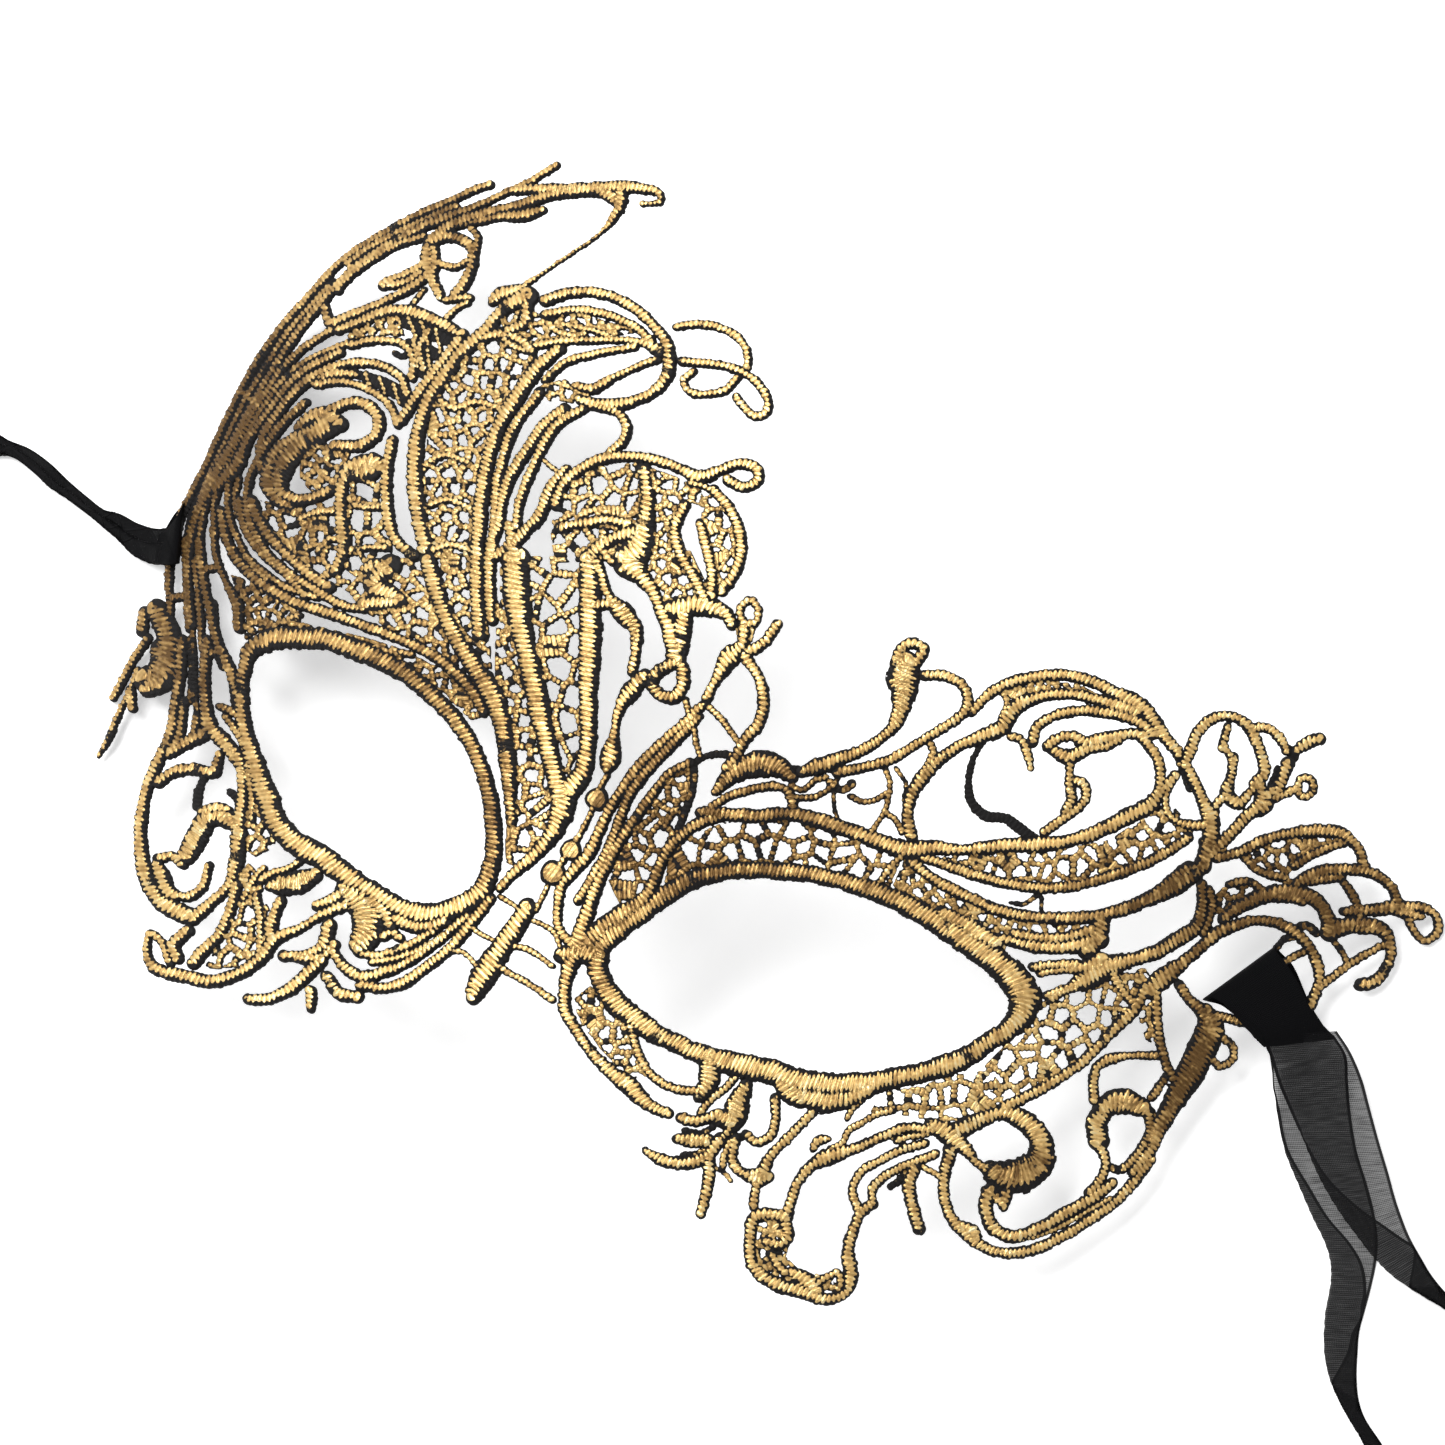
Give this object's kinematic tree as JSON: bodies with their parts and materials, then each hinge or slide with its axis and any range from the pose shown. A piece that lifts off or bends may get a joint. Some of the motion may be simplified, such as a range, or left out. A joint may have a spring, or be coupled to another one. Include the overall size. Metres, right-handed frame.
{
  "type": "masquerade mask",
  "caption": "Half-face masquerade mask of gold and black corded lace, curved round the face, with almond eye holes, a feather crest and a sheer ribbon tie at each temple.",
  "frame": {"origin": "centre of the lace's footprint, on the surface that the mask lies on", "axes": "+X across the face to the wearer's left side of the picture plane, +Y up the forehead, +Z out of the face and up from the surface"},
  "size_m": [0.334, 0.1456, 0.0397],
  "materials": {
    "lace": "metallic gold foil satin stitch over black thread",
    "ribbon": "sheer black organza with a woven edge"
  },
  "bodies": {
    "mask": {"bead_chain": "lace", "bridge_cords": "lace", "crest_curl": "lace", "crest_feathers": "lace", "crest_fore_lobe": "lace", "crest_left_edge": "lace", "crest_loops": "lace", "crest_top_plume": "lace", "left_brow_band": "lace", "left_cheek_arc": "lace", "left_cheek_curl": "lace", "left_cheek_scroll": "lace", "left_eye_rim": "lace", "left_temple_cords": "lace", "left_temple_fan": "lace", "long_plume": "lace", "lower_fringe": "lace", "lower_loop": "lace", "medallion": "lace", "nose_drop": "lace", "nose_stems": "lace", "paisley": "lace", "right_brow_band": "lace", "right_brow_plume": "lace", "right_brow_scroll": "lace", "right_cheek_hook": "lace", "right_cheek_spiral": "lace", "right_eye_rim": "lace", "right_outer_band": "lace", "right_temple_fan": "lace", "right_upper_plumes": "lace", "side_loop": "lace", "left_ribbon_hitch": "ribbon", "right_ribbon_hitch": "ribbon"},
    "left_ribbon": {"left_ribbon_roll_a": "ribbon", "left_ribbon_roll_b": "ribbon", "left_ribbon_tail_a": "ribbon", "left_ribbon_tail_b": "ribbon"},
    "right_ribbon": {"right_ribbon_roll_a": "ribbon", "right_ribbon_roll_b": "ribbon", "right_ribbon_tail_a": "ribbon", "right_ribbon_tail_b": "ribbon"}
  },
  "joints": [
    {"name": "left_ribbon_swing", "type": "hinge", "parent": "mask", "child": "left_ribbon", "pos_m": [-0.1101, -0.00908, 0.0022], "axis": [0.2801, 0.96, 0], "range_deg": [0, 120]},
    {"name": "right_ribbon_swing", "type": "hinge", "parent": "mask", "child": "right_ribbon", "pos_m": [0.0981, -0.00431, 0.0042], "axis": [-0.5695, -0.822, 0], "range_deg": [0, 120]}
  ]
}
